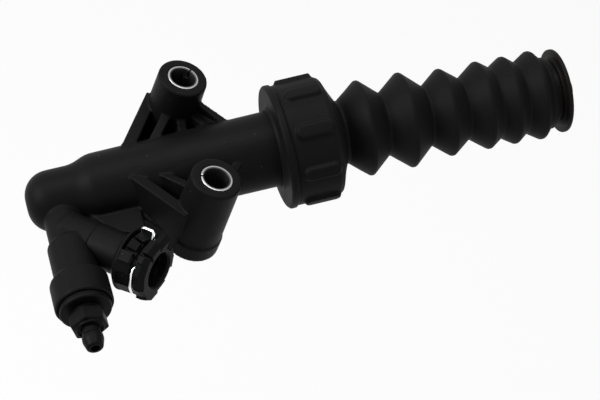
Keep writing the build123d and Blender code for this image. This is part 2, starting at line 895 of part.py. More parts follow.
# Rod head: hub in the boot's collar, disc and dome
disc_end = disc_from_ball + disc_thickness
dome_r = (dome_base_r**2 + dome_height**2) / (2 * dome_height)
with BuildPart() as rod_head:
    with BuildSketch(rod_plane) as head_half:
        with BuildLine():
            Polyline(
                (spigot_end + seat_gap, 0),
                (spigot_end + seat_gap, rod_neck_r + seat_gap),
                (hub_start, rod_neck_r + seat_gap),
                (hub_start, hub_r - 0.4),
                (hub_start + 0.4, hub_r),
                (disc_from_ball - hub_lip, hub_r),
                (disc_from_ball - hub_lip, hub_lip_r),
                (disc_from_ball - 0.25, hub_lip_r),
                (disc_from_ball, hub_lip_r + 0.25),
                (disc_from_ball, disc_r - 0.3),
                (disc_from_ball + 0.3, disc_r),
                (disc_end - 0.3, disc_r),
                (disc_end, disc_r - 0.3),
                (disc_end, dome_base_r),
            )
            RadiusArc((disc_end, dome_base_r), (disc_end + dome_height, 0), dome_r)
            Line((disc_end + dome_height, 0), (spigot_end + seat_gap, 0))
        make_face()
    revolve(head_half.sketch, axis=Axis(rod_plane.origin, rod_plane.x_dir))
rod_head.part.label = "rod_head"
export_step(rod_head.part, "parts/rod_head.step")

# Spring seat on the piston's back
seat_x = piston_back_x - seat_gap - spring_cup_thickness
with BuildPart() as spring_cup:
    along_x(
        [
            (seat_x, spring_r - spring_wire_r - 0.1),
            (seat_x, spring_cup_r),
            (seat_x + spring_cup_thickness, spring_cup_r),
            (seat_x + spring_cup_thickness, cup_spigot_r + seat_gap),
            (cup_spigot_end, cup_spigot_r + seat_gap),
            (cup_spigot_end, spring_r - spring_wire_r - 0.7),
        ]
    )
spring_cup.part.label = "spring_cup"
export_step(spring_cup.part, "parts/spring_cup.step")

# Preload spring between the bore's floor and its seat
spring_start_x = bore_floor_x + spring_wire_r + seat_gap
spring_height = seat_x - spring_wire_r - seat_gap - spring_start_x
with BuildPart() as piston_spring:
    with BuildLine() as coil:
        Helix(
            pitch=spring_height / spring_turns,
            height=spring_height,
            radius=spring_r,
            center=(spring_start_x, 0, 0),
            direction=(1, 0, 0),
        )
    with BuildSketch(Plane(origin=coil.line @ 0, z_dir=coil.line % 0)) as spring_wire:
        RegularPolygon(spring_wire_r, 4)
    sweep(spring_wire.sketch, path=coil.line, is_frenet=True)
piston_spring.part.label = "piston_spring"
export_step(piston_spring.part, "parts/piston_spring.step")

# Stop ring and guide bush at the mouth of the bore
with BuildPart() as stop_ring:
    along_x(
        [
            (stop_ring_x, stop_ring_inner_r),
            (stop_ring_x, bore_r + stop_ring_depth - seat_gap),
            (stop_ring_x + stop_ring_width, bore_r + stop_ring_depth - seat_gap),
            (stop_ring_x + stop_ring_width, stop_ring_inner_r),
        ]
    )
    with BuildSketch(Plane.YZ.offset(stop_ring_x - 1)) as ring_gap:
        with Locations((0, bore_r)):
            Rectangle(5, 6)
    extrude(ring_gap.sketch, amount=4, mode=Mode.SUBTRACT)
stop_ring.part.label = "stop_ring"
export_step(stop_ring.part, "parts/stop_ring.step")

guide_x = stop_ring_x + stop_ring_width + seat_gap
with BuildPart() as mouth_guide:
    along_x(
        [
            (guide_x, stop_ring_inner_r),
            (guide_x, bore_r - seat_gap),
            (tube_mouth_x - guide_setback, bore_r - seat_gap),
            (tube_mouth_x - guide_setback, stop_ring_inner_r),
        ]
    )
mouth_guide.part.label = "mouth_guide"
export_step(mouth_guide.part, "parts/mouth_guide.step")

# Rubber boot: cuff with grip pads, then the folds on their own leaning axis
boot_plane = tilted_axis(boot_pivot_x, boot_tilt)
grip_r = tube_mouth_r + seat_gap
bead_in = bead_start_x - seat_gap
bead_out = bead_start_x + boot_bead_width + seat_gap
neck_r = valley_r[0]
folds_outer = []
folds_inner = []
for index, (crest_x, crest_r) in enumerate(zip(fold_x, fold_r)):
    folds_outer.append((crest_x - boot_pivot_x - fold_round, crest_r))
    folds_outer.append((crest_x - boot_pivot_x + fold_round, crest_r))
    folds_inner.append((crest_x - boot_pivot_x, crest_r - boot_wall))
    if index + 1 < len(fold_x):
        folds_outer.append((valley_x[index + 1] - boot_pivot_x, valley_r[index + 1]))
        folds_inner.append((valley_x[index + 1] - boot_pivot_x, valley_r[index + 1] - boot_wall))
collar_at = boot_collar_x - boot_pivot_x
collar_bore_r = hub_r + 0.12
with BuildPart() as boot:
    along_x(
        [
            (cuff_start_x - 0.9, grip_r),
            (cuff_start_x - 0.9, grip_r + 0.8),
            (cuff_start_x, grip_r + 1.2),
            (cuff_start_x, cuff_rim_r - 0.8),
            (cuff_start_x + 0.8, cuff_rim_r),
            (cuff_start_x + cuff_rim_width, cuff_rim_r),
            (cuff_start_x + cuff_rim_width + 0.5, cuff_r - 0.4),
            (cuff_start_x + cuff_rim_width + 1.2, cuff_r),
            (cuff_end_x - 2.2, cuff_r),
            (cuff_end_x - 0.8, cuff_r - 0.9),
            (cuff_end_x + 0.2, cuff_r - 3.2),
            (cuff_end_x + 1.4, cuff_r - 5.9),
            (boot_pivot_x - 0.3, neck_r + 0.3),
            (boot_pivot_x + 0.7, neck_r),
            (boot_pivot_x + 0.7, neck_r - boot_wall),
            (boot_pivot_x - 1.5, neck_r - boot_wall),
            (cuff_end_x, grip_r),
            (bead_out, grip_r),
            (bead_out, boot_bead_r + seat_gap),
            (bead_in, boot_bead_r + seat_gap),
            (bead_in, grip_r),
        ]
    )
    along(
        boot_plane,
        [
            (-0.6, neck_r - boot_wall + neck_sink),
            (-0.6, neck_r - neck_sink),
            (1.0, neck_r - neck_sink),
            *folds_outer,
            (collar_at - boot_collar_width - 0.6, boot_collar_r),
            (collar_at - 0.4, boot_collar_r),
            (collar_at, boot_collar_r - 0.4),
            (collar_at, collar_bore_r),
            (collar_at - boot_collar_width, collar_bore_r),
            *reversed(folds_inner),
            (1.0, neck_r - boot_wall + neck_sink),
        ],
    )
    for index in range(pad_count):
        turn = radians(pad_phase + index * 360 / pad_count)
        outward = Vector(0, cos(turn), sin(turn))
        pad_origin = Vector(cuff_start_x + pad_middle, 0, 0) + outward * (cuff_r - 1)
        with BuildSketch(Plane(origin=pad_origin, x_dir=(1, 0, 0), z_dir=outward)) as grip_pad:
            RectangleRounded(pad_length, pad_width, pad_width / 3)
        extrude(grip_pad.sketch, amount=pad_height + 1)
boot.part.label = "boot"
export_step(boot.part, "parts/boot.step")
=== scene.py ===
# %% [markdown]
# # Clutch slave cylinder
# A moulded black housing with two bushed lugs and two ports, and a ribbed rubber boot over its push rod.
# Everything is in metres, in the frame of the imported part: X along the bore, Z up.
# The imported part is loaded first.

# %% Load the frame
import bmesh
import bpy
import json
import math
from mathutils import Matrix, Vector


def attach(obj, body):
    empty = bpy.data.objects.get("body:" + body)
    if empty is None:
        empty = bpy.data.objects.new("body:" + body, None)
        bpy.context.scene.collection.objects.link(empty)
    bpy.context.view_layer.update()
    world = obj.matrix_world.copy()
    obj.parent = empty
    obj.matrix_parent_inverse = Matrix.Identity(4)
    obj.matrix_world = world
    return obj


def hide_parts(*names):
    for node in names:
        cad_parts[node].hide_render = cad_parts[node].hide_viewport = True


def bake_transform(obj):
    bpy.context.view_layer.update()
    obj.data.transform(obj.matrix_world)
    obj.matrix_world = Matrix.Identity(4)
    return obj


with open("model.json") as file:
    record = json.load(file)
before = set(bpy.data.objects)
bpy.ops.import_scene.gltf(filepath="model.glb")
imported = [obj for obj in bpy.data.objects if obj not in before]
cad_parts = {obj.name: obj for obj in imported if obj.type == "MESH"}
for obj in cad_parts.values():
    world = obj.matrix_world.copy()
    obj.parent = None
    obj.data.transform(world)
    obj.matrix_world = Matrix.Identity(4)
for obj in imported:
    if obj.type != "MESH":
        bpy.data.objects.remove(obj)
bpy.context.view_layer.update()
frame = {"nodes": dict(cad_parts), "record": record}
nodes = frame["nodes"]
MM = 0.001
print("nodes", len(nodes))

# %% [markdown]
# ## Shader maths
# A material's patterns are sums and products of numbers that change over the surface. `Value` wraps one
# socket, so that a pattern is written as it would be on paper and Python adds the Math nodes.

# %% One socket as a number
class Value:
    def __init__(self, finish, socket):
        self.finish = finish
        self.socket = socket

    def maths(self, operation, *others):
        links = dict(enumerate((self, *others)))
        return Value(self.finish, self.finish.add("Math", {"operation": operation}, links).outputs[0])

    def flipped(self, operation, other):
        """The same node with the other number first, as in 1 - mask."""
        node = self.finish.add("Math", {"operation": operation}, {0: other, 1: self})
        return Value(self.finish, node.outputs[0])

    def __add__(self, other):
        return self.maths("ADD", other)

    __radd__ = __add__

    def __mul__(self, other):
        return self.maths("MULTIPLY", other)

    __rmul__ = __mul__

    def __sub__(self, other):
        return self.maths("SUBTRACT", other)

    def __rsub__(self, other):
        return self.flipped("SUBTRACT", other)

    def __truediv__(self, other):
        return self.maths("DIVIDE", other)

    def __rtruediv__(self, other):
        return self.flipped("DIVIDE", other)

    def __pow__(self, other):
        return self.maths("POWER", other)

    def clamp(self):
        return self.maths("MAXIMUM", 0.0).maths("MINIMUM", 1.0)


# %% [markdown]
# `Finish` is one material. `add` makes any node, `noise` gives a cloudy number in object space, and
# `dress` joins the finished patterns to the shader.

# %% One material
class Finish:
    def __init__(self, name, metallic=0.0, specular=0.5):
        self.material = bpy.data.materials.new(name)
        self.material.use_nodes = True
        self.tree = self.material.node_tree
        self.shader = self.tree.nodes["Principled BSDF"]
        self.shader.inputs["Metallic"].default_value = metallic
        self.shader.inputs["Specular IOR Level"].default_value = specular
        self.where = self.add("TexCoord", {}, {}).outputs["Object"]
        parts = self.add("SeparateXYZ", {}, {0: self.where})
        self.x, self.y, self.z = (Value(self, parts.outputs[axis]) for axis in "XYZ")

    def add(self, kind, settings, links):
        """A node, with its settings first and then a number, colour or link for each input."""
        made = self.tree.nodes.new("ShaderNode" + kind)
        for key, setting in settings.items():
            setattr(made, key, setting)
        for key, link in links.items():
            if isinstance(link, Value):
                link = link.socket
            if isinstance(link, bpy.types.NodeSocket):
                self.tree.links.new(link, made.inputs[key])
            else:
                made.inputs[key].default_value = link
        return made

    def noise(self, patch, detail=2.0, stretch=(1.0, 1.0, 1.0)):
        """A cloudy number from 0 to 1, with patches of about that many millimetres."""
        place = self.add("Mapping", {}, {"Vector": self.where, "Scale": stretch})
        cloud = {"Vector": place.outputs[0], "Scale": 1000.0 / patch, "Detail": detail}
        return Value(self, self.add("TexNoise", {}, cloud).outputs[0])

    def mix(self, share, first, second):
        """A colour that goes from the first to the second as the share goes from 0 to 1."""
        links = {0: share, 6: first, 7: second}
        return self.add("Mix", {"data_type": "RGBA"}, links).outputs[2]

    def dress(self, color, roughness, height):
        self.tree.links.new(color, self.shader.inputs["Base Color"])
        self.tree.links.new(roughness.clamp().socket, self.shader.inputs["Roughness"])
        bump = self.add("Bump", {}, {"Distance": 1.0, "Height": height})
        self.tree.links.new(bump.outputs[0], self.shader.inputs["Normal"])
        return self.material


def shade(color, times):
    """A colour made lighter or darker, as a shader wants it."""
    return tuple(part * times for part in color) + (1.0,)


# %% [markdown]
# ## Black moulded plastic
# The housing and the ports are glass-filled nylon. Its skin is an eggshell grain a quarter of a millimetre
# wide, with cloudy patches where the sheen is duller, faint scuffs, and a few specks of pale dust.

# %% Plastic
DUST = (0.16, 0.15, 0.14, 1.0)
SHEEN = 0.055


def plastic(name, color, roughness, grain=0.010, scuffs=0.5):
    made = Finish(name, specular=SHEEN)
    cloud = made.noise(9.0, 3.0)
    skin = made.noise(0.32, 2.0)
    scuff = ((made.noise(2.6, 4.0, (0.35, 1.0, 1.0)) - 0.58) * 7.0).clamp() * scuffs
    speck = ((made.noise(0.9, 1.0) - 0.80) * 30.0).clamp()
    tint = made.mix(cloud, shade(color, 0.80), shade(color, 1.20))
    tint = made.mix(scuff * 0.35, tint, shade(color, 2.2))
    tint = made.mix(speck * 0.8, tint, DUST)
    sheen = roughness + 0.14 * (cloud - 0.5) + 0.12 * scuff + 0.10 * (skin - 0.5)
    return made.dress(tint, sheen, skin * (grain * MM) + cloud * (0.03 * MM))


# %% [markdown]
# ## Moulded rubber
# The boot is softer and duller than the housing. Rubber blooms: a thin grey film comes out, mostly in
# cloudy patches, and handling polishes parts of it dark again.

# %% Rubber
def rubber(name, color, roughness, grain=0.008):
    made = Finish(name, specular=SHEEN)
    cloud = made.noise(14.0, 4.0)
    skin = made.noise(0.45, 2.0)
    bloom = ((made.noise(5.0, 5.0) - 0.50) * 3.0).clamp()
    speck = ((made.noise(1.1, 1.0) - 0.81) * 30.0).clamp()
    tint = made.mix(cloud, shade(color, 0.80), shade(color, 1.20))
    tint = made.mix(bloom * 0.30, tint, shade(color, 1.9))
    tint = made.mix(speck * 0.6, tint, DUST)
    sheen = roughness + 0.10 * (cloud - 0.5) + 0.10 * bloom
    return made.dress(tint, sheen, skin * (grain * MM) + cloud * (0.04 * MM))


# %% [markdown]
# ## Steel
# The bushes are rolled from strip, the clip and springs are drawn wire, and the rod is ground. Each has
# fine marks as noise of its own size; on the rod the noise is stretched along the way it was ground.

# %% Steel
def steel(name, color, roughness, stretch, marks=0.4):
    made = Finish(name, metallic=1.0)
    lines = made.noise(0.5, 3.0, stretch)
    cloud = made.noise(4.0, 2.0)
    tint = made.mix(lines, shade(color, 1.0 - marks / 2), shade(color, 1.0 + marks / 2))
    tint = made.mix(((cloud - 0.60) * 4.0).clamp() * 0.3, tint, shade(color, 0.6))
    sheen = roughness + 0.18 * (lines - 0.5) + 0.10 * (cloud - 0.5)
    return made.dress(tint, sheen, lines * (0.003 * MM))


# %% [markdown]
# The bushes have a bright faced rim. The bore is painted dark as painted shade inside the hole, and a
# ring of painted shade runs round the rim's outer edge, where it meets the boss. How far a point lies from
# its bolt's axis tells them apart.

# %% Bush steel
LUG_LEAN = math.radians(19)
LUG_SIDE = 22.1


def bush_steel(name, rim, painted_shade_color):
    made = Finish(name, metallic=1.0)
    across = made.y.maths("ABSOLUTE") - LUG_SIDE * MM
    along = made.x * math.cos(LUG_LEAN) - made.z * math.sin(LUG_LEAN)
    radius = (across * across + along * along).maths("SQRT") * (1 / MM)
    # painted shade: dark inside the bore, and in a ring at the rim's outer edge
    bore_shade_mask = ((4.74 - radius) * 10.0).clamp()
    rim_edge_shade_mask = ((radius - 5.30) * 8.0).clamp()
    turning = made.noise(0.7, 2.0)
    tint = made.mix(turning, shade(rim, 0.82), shade(rim, 1.12))
    # the painted shade goes on the rim's outer edge, then in the bore
    tint = made.mix(rim_edge_shade_mask * 0.9, tint, shade(painted_shade_color, 1.5))
    tint = made.mix(bore_shade_mask, tint, shade(painted_shade_color, 1.0))
    sheen = 0.28 + 0.14 * (turning - 0.5) + 0.16 * bore_shade_mask
    return made.dress(tint, sheen, turning * (0.002 * MM))


# %% Finishes of the part
FINISHES = {
    "housing_plastic": plastic("housing_plastic", (0.0036, 0.0036, 0.0039), 0.50),
    "boot_rubber": rubber("boot_rubber", (0.0044, 0.0044, 0.0048), 0.56),
    # the bushes' second colour is painted shade for their bores and rim edges
    "bush_steel": bush_steel("bush_steel", (0.40, 0.40, 0.41), (0.055, 0.055, 0.058)),
    "spring_steel": steel("spring_steel", (0.88, 0.89, 0.91), 0.20, (0.4, 0.4, 0.4), 0.2),
    "valve_plastic": plastic("valve_plastic", (0.0032, 0.0032, 0.0035), 0.44),
    "socket_plastic": plastic("socket_plastic", (0.0034, 0.0034, 0.0037), 0.47),
    "head_plastic": plastic("head_plastic", (0.0062, 0.0053, 0.0050), 0.47),
    "piston_plastic": plastic("piston_plastic", (0.050, 0.050, 0.052), 0.40),
    "bearing_plastic": plastic("bearing_plastic", (0.52, 0.50, 0.45), 0.40, scuffs=0.1),
    "seal_rubber": rubber("seal_rubber", (0.006, 0.006, 0.006), 0.55),
    "rod_steel": steel("rod_steel", (0.55, 0.56, 0.57), 0.28, (0.05, 1.0, 1.0)),
    "coil_steel": steel("coil_steel", (0.38, 0.38, 0.39), 0.32, (1.0, 1.0, 1.0)),
}
SLOTS = {entry["node"]: entry["material_slot"] for entry in frame["record"]["subparts"]}
for name, slot in SLOTS.items():
    nodes[name].data.materials.clear()
    nodes[name].data.materials.append(FINISHES[slot])
print("finishes", len(FINISHES))

# %% [markdown]
# ## Helpers for new pieces
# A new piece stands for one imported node: it takes that node's finish, and rides on its body.

# %% A finished piece
def finish_piece(name, data, node, body=None, smooth=40.0):
    piece = bpy.data.objects.new(name, data)
    bpy.context.scene.collection.objects.link(piece)
    for face in data.polygons:
        face.use_smooth = True
    data.set_sharp_from_angle(angle=math.radians(smooth))
    data.materials.clear()
    data.materials.append(FINISHES[SLOTS[node]])
    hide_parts(node)
    if body:
        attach(piece, body)
    print(name, "faces", len(data.polygons))
    return piece


# %% [markdown]
# ## Outlines
# Turned pieces start from an outline of (along, radius) points in millimetres. `rounded` gives each corner
# its own small arc, and `turned` spins the outline about the X axis.

# %% Turned pieces
def rounded(points, steps=4):
    """Points of (x, r, corner radius), with each corner replaced by an arc."""
    out = []
    for index, (x, r, radius) in enumerate(points):
        here = Vector((x, r))
        if radius <= 0 or index in (0, len(points) - 1):
            out.append((x, r))
            continue
        before = (Vector(points[index - 1][:2]) - here).normalized()
        after = (Vector(points[index + 1][:2]) - here).normalized()
        bend = math.pi - before.angle(after)
        if bend < 0.02:
            out.append((x, r))
            continue
        cut = radius * math.tan(bend / 2)
        centre = here + (before + after).normalized() * (radius / math.cos(bend / 2))
        start = here + before * cut - centre
        sweep = start.angle_signed(here + after * cut - centre)
        for step in range(steps + 1):
            out.append(tuple(centre + Matrix.Rotation(-sweep * step / steps, 2) @ start))
    return out


def turned(outline, steps):
    """A bmesh of a closed outline, spun a full turn about the X axis."""
    made = bmesh.new()
    line = [made.verts.new((x * MM, r * MM, 0)) for x, r in outline]
    edges = [made.edges.new(pair) for pair in zip(line, line[1:] + line[:1])]
    full_turn = {"cent": (0, 0, 0), "axis": (1, 0, 0), "angle": 2 * math.pi, "use_merge": True}
    bmesh.ops.spin(made, geom=line + edges, steps=steps, **full_turn)
    bmesh.ops.remove_doubles(made, verts=made.verts, dist=0.0005 * MM)
    bmesh.ops.recalc_face_normals(made, faces=made.faces)
    return made


def as_mesh(name, made):
    data = bpy.data.meshes.new(name)
    made.to_mesh(data)
    made.free()
    return data


# %% [markdown]
# ## The ports' own axes
# Both ports are modelled along X, and then moved to their places: X is the way out of the port, Y its side
# in the plane of the two ports, and Z the way up from that plane.

# %% Port axes
LIFT = math.radians(5)
UP = Vector((0, math.sin(LIFT), math.cos(LIFT)))
BLEED_WAY = Vector((0, -math.cos(LIFT), math.sin(LIFT)))
BLEED_FOOT = Vector((-42.8, 0, 0))
HALF = math.sqrt(0.5)
PIPE_WAY = (Vector((1, 0, 0)) + BLEED_WAY) * HALF
PIPE_SIDE = (Vector((1, 0, 0)) - BLEED_WAY) * HALF
PIPE_FOOT = BLEED_FOOT + BLEED_WAY * 14.3


def port_axes(foot, way, side):
    turned_to = Matrix((way, side, way.cross(side))).transposed().to_4x4()
    return Matrix.Translation(foot * MM) @ turned_to


PIPE_PLACE = port_axes(PIPE_FOOT, PIPE_WAY, PIPE_SIDE)
BLEED_PLACE = port_axes(BLEED_FOOT, BLEED_WAY, Vector((1, 0, 0)))

# %% [markdown]
# The collar's lugs and pads are blocks between two angles. Each is a cube whose corners are moved, so its
# outer face is flat, as on the real socket. A flat plate is a face that is drawn out.

# %% Blocks and plates
def block(start, end, inner, outer, low, high, tip=None, fall=0.0):
    """A block between two angles, radii and levels; tip is the outer radius at the far level, and fall is
    how much lower the outer face lies at the second angle."""
    made = bmesh.new()
    bmesh.ops.create_cube(made, size=2.0)
    for vert in made.verts:
        angle = math.radians(end if vert.co.z > 0 else start)
        radius = inner if vert.co.y < 0 else (outer if vert.co.x < 0 or tip is None else tip)
        if vert.co.y > 0 and vert.co.z > 0:
            radius -= fall
        level = high if vert.co.x > 0 else low
        vert.co = Vector((level, radius * math.cos(angle), radius * math.sin(angle))) * MM
    bmesh.ops.recalc_face_normals(made, faces=made.faces)
    return made


def plate(corners, thickness):
    made = bmesh.new()
    line = [made.verts.new(Vector((x, y, -thickness / 2)) * MM) for x, y in corners]
    face = made.faces.new(line)
    drawn = bmesh.ops.extrude_face_region(made, geom=[face])["geom"]
    moved = [part for part in drawn if isinstance(part, bmesh.types.BMVert)]
    bmesh.ops.translate(made, verts=moved, vec=(0, 0, thickness * MM))
    bmesh.ops.recalc_face_normals(made, faces=made.faces)
    return made


def joined(name, shapes, place=Matrix()):
    """One mesh of several shapes, moved to its place."""
    whole = bmesh.new()
    for shape in shapes:
        whole.from_mesh(as_mesh("shape", shape))
    whole.transform(place)
    return as_mesh(name, whole)


# %% [markdown]
# A moulding has no knife edges: plastic flows round every corner, and each rib meets its wall in a small
# fillet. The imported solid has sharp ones. So a copy of it is merged, skinned again with small square
# faces, and smoothed a few times, which rounds the edges and fills the inner corners alike. Then the
# faces that lie flat are thinned.

# %% A moulded copy of a node
def merged_copy(node):
    made = bmesh.new()
    made.from_mesh(nodes[node].data)
    bmesh.ops.remove_doubles(made, verts=made.verts, dist=0.002 * MM)
    data = bpy.data.meshes.new(node + "_copy")
    made.to_mesh(data)
    made.free()
    return data


def with_modifiers(data, *steps):
    """The mesh after a few modifiers, each given as its type and settings."""
    blank = bpy.data.objects.new("blank", data)
    bpy.context.scene.collection.objects.link(blank)
    for kind, settings in steps:
        step = blank.modifiers.new(kind, kind)
        for key, setting in settings.items():
            setattr(step, key, setting)
    graph = bpy.context.evaluated_depsgraph_get()
    made = bpy.data.meshes.new_from_object(blank.evaluated_get(graph))
    bpy.data.objects.remove(blank)
    return made


def moulded(name, data, node, body, voxel, rounds, share):
    skin = with_modifiers(
        data,
        ("REMESH", {"mode": "VOXEL", "voxel_size": voxel * MM}),
        ("SMOOTH", {"iterations": rounds, "factor": 0.5}),
        ("DECIMATE", {"ratio": share}),
    )
    return finish_piece(name, skin, node, body, 70.0)


# %% [markdown]
# ## Housing
# The housing is one moulding: tube, domed head, two leaning lugs with their ribs, and both ports. It could
# be modelled afresh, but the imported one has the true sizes, so a copy of it is skinned. It is right but for
# one place: the web between the ports reaches on to the near lug's plate, so that no light shows between
# them. That corner is added before the skin is made.

# %% Housing
WEB_THICKNESS = 3.0
WEB_CORNER = [(13.5, 17.8), (17.0, 21.3), (19.6, 22.6), (22.5, 23.0), (25.4, 21.4), (25.4, 8.0), (13.5, 8.0)]
web = plate(WEB_CORNER, WEB_THICKNESS)
web.transform(port_axes(BLEED_FOOT, Vector((1, 0, 0)), BLEED_WAY))
shell = bmesh.new()
shell.from_mesh(merged_copy("housing"))
skin = joined("housing_shell", (shell, web))
moulded("housing_moulding", skin, "housing", "body", voxel=0.34, rounds=5, share=0.34)

# %% [markdown]
# ## Bleed valve
# The bleed screw is moulded too: a flange, a hexagon for the spanner and a nipple for the hose. It could be
# a stack of cylinders, but one outline keeps every radius in one list, and a hexagon is the same turning in
# six steps. A low rim stands on the hexagon, and the nipple's neck rises out of it.

# %% Bleed valve
VALVE = rounded([
    (30.3, 0, 0), (30.3, 1.5, 0), (33.65, 4.85, 0), (39.5, 4.85, 0), (39.5, 3.65, 0), (41.2, 3.65, 0),
    (41.2, 4.85, 0), (45.25, 4.85, 0), (45.25, 8.3, 0.2), (48.9, 8.3, 0.6), (48.9, 4.5, 0.3), (54.9, 4.5, 0),
    (55.9, 4.5, 0.3), (55.9, 3.9, 0.2), (54.9, 3.8, 0.2), (54.9, 2.95, 0.2), (58.2, 2.95, 0.3),
    (58.8, 3.4, 0.3), (60.2, 3.4, 0.6), (62.9, 2.65, 0.5), (63.2, 1.9, 0.3), (63.2, 1.45, 0), (36.5, 1.45, 0),
    (36.5, 0, 0),
])
HEXAGON = [(50.2, 3.0), (50.2, 5.9), (50.6, 6.15), (54.7, 6.15), (55.2, 5.7), (55.2, 3.0)]
HEX_TURN = math.radians(40)
hexagon = turned(HEXAGON, 6)
hexagon.transform(Matrix.Rotation(HEX_TURN, 4, "X"))
valve = joined("bleed_valve_shapes", (turned(VALVE, 96), hexagon), BLEED_PLACE)
moulded("bleed_valve_moulding", valve, "bleed_valve", "bleed_screw", voxel=0.15, rounds=2, share=0.5)

# %% [markdown]
# ## Pipe socket
# The pipe's quick connector is pushed into the housing's branch: a sleeve with a rim, then a groove, a
# castellated collar, the clip's slot and an end ring with pads. The gaps could be cut out of full rings,
# but each pad has its own height and slope. So the round parts are two turned pieces, every lug and pad is a
# block on them, and the skin joins them all.

# %% Pipe socket
SLEEVE = [
    (6.5, 2.0), (6.5, 4.58), (8.0, 4.58), (8.0, 3.3), (9.8, 3.3), (9.8, 4.58), (12.02, 4.58), (12.02, 7.1),
    (23.22, 7.1), (23.22, 8.6), (25.1, 10.7), (25.6, 10.7), (25.6, 8.4), (30.4, 8.4), (30.4, 5.9),
    (28.32, 5.9), (28.32, 5.5), (21.02, 5.5), (21.02, 2.0),
]
END_RING = [(32.4, 5.9), (32.4, 7.9), (35.5, 7.9), (36.02, 7.4), (36.02, 6.6), (35.3, 5.9)]
COLLAR_BLOCKS = [
    (48, 80, 7.5, 10.6, 26.9, 30.3, 9.6),
    (85, 105, 7.5, 10.8, 26.9, 30.0, 9.4),
    (112, 132, 7.5, 10.7, 25.4, 30.0, 10.5),
    (132, 153, 7.5, 10.7, 25.4, 30.0, 9.6),
    (153, 180, 7.5, 10.4, 25.4, 30.2, 9.7),
    (180, 207, 7.5, 10.5, 25.4, 30.4, 10.0),
    (207, 232, 7.5, 10.6, 25.4, 30.4, 10.2),
    (256, 284, 7.5, 10.6, 25.4, 30.4, 10.4),
    (308, 336, 7.5, 10.6, 25.4, 30.4, 10.4),
    (336, 364, 7.5, 10.6, 25.4, 30.4, 10.4),
    (4, 30, 7.5, 10.6, 25.4, 30.4, 10.4),
]
RING_PADS = [
    (40, 68, 11.7, 10.6, 2.6),
    (74, 104, 10.9, 9.3, 0.0),
    (111, 124, 10.9, 9.3, 0.0),
    (124, 150, 10.6, 9.2, 0.0),
    (150, 180, 10.1, 9.3, 0.0),
    (180, 208, 10.3, 9.7, 0.0),
    (208, 234, 10.9, 10.5, 0.0),
    (234, 254, 10.9, 10.4, 1.2),
    (256, 286, 8.6, 8.2, 0.0),
    (320, 345, 9.4, 8.8, 0.0),
    (345, 375, 9.6, 9.0, 0.0),
]
POSTS = [
    (62, 84, 7.4), (84, 106, 7.4), (106, 118, 7.9),
    (180, 225, 7.2), (225, 270, 7.2), (270, 315, 7.2), (315, 360, 7.2),
]
PAD_INNER, PAD_START, PAD_SHOULDER, PAD_END = 7.2, 32.4, 34.3, 36.02
POST_INNER, POST_START, POST_END = 6.1, 30.2, 32.6
OVERLAP = 0.1
ROUND_STEPS = 96
shapes = [turned(SLEEVE, ROUND_STEPS), turned(END_RING, ROUND_STEPS)]
shapes += [block(*sizes) for sizes in COLLAR_BLOCKS]
for start, end, outer, tip, fall in RING_PADS:
    shapes.append(block(start, end, PAD_INNER, outer, PAD_START, PAD_SHOULDER + OVERLAP, outer, fall))
    shapes.append(block(start, end, PAD_INNER, outer, PAD_SHOULDER, PAD_END, tip, fall))
shapes += [block(start, end, POST_INNER, outer, POST_START, POST_END) for start, end, outer in POSTS]
socket = joined("pipe_socket_shapes", shapes, PIPE_PLACE)
moulded("pipe_socket_moulding", socket, "pipe_socket", "body", voxel=0.17, rounds=2, share=0.5)

# %% [markdown]
# ## Bushes
# Each bush is rolled steel strip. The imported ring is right, but its rims are broken with a small bevel,
# because a bare edge never catches the light as the photograph's bright rims do. The far bush's seam steps
# sideways near the top of its bore: its ring is turned over in place, and the step is moved up to there.

# %% The far bush's seam
LUG_WAY = Vector((math.sin(LUG_LEAN), 0, math.cos(LUG_LEAN)))
LUG_ACROSS = Vector((math.cos(LUG_LEAN), 0, -math.sin(LUG_LEAN)))
LUG_MIDDLE = 6.0
SEAM_MIRROR = math.radians(54.0)
STEP_RISE = 12.6


def stepped(data):
    ring = bmesh.new()
    ring.from_mesh(data)
    place = Matrix((LUG_ACROSS, Vector((0, 1, 0)), LUG_WAY)).transposed().to_4x4()
    place.translation = Vector((0, LUG_SIDE * MM, 0))
    ring.transform(place.inverted())
    for vert in ring.verts:
        if abs(vert.co.z - LUG_MIDDLE * MM) < 2 * MM:
            vert.co.z += STEP_RISE * MM
    turn = Matrix.Rotation(SEAM_MIRROR, 4, "Z")
    over = turn @ Matrix.Scale(-1, 4, (0, 1, 0)) @ turn.inverted()
    ring.transform(place @ over)
    bmesh.ops.recalc_face_normals(ring, faces=ring.faces)
    return as_mesh("far_bush_seam", ring)


# %% Bush rims
for bush in ("near_lug_bush", "far_lug_bush"):
    ring = merged_copy(bush)
    if bush == "far_lug_bush":
        ring = stepped(ring)
    rim = {"width": 0.14 * MM, "segments": 2, "limit_method": "ANGLE", "angle_limit": math.radians(50)}
    ring = with_modifiers(ring, ("BEVEL", rim))
    finish_piece(bush + "_rolled", ring, bush, "body")

# %% [markdown]
# ## Rod head
# The domed tip with its disc is one turned moulding, pushed on the rod. A dome could be a squashed ball,
# but an arc in the outline meets the disc cleanly. The head leans with the rod, which hangs a little
# towards -Y from its ball.

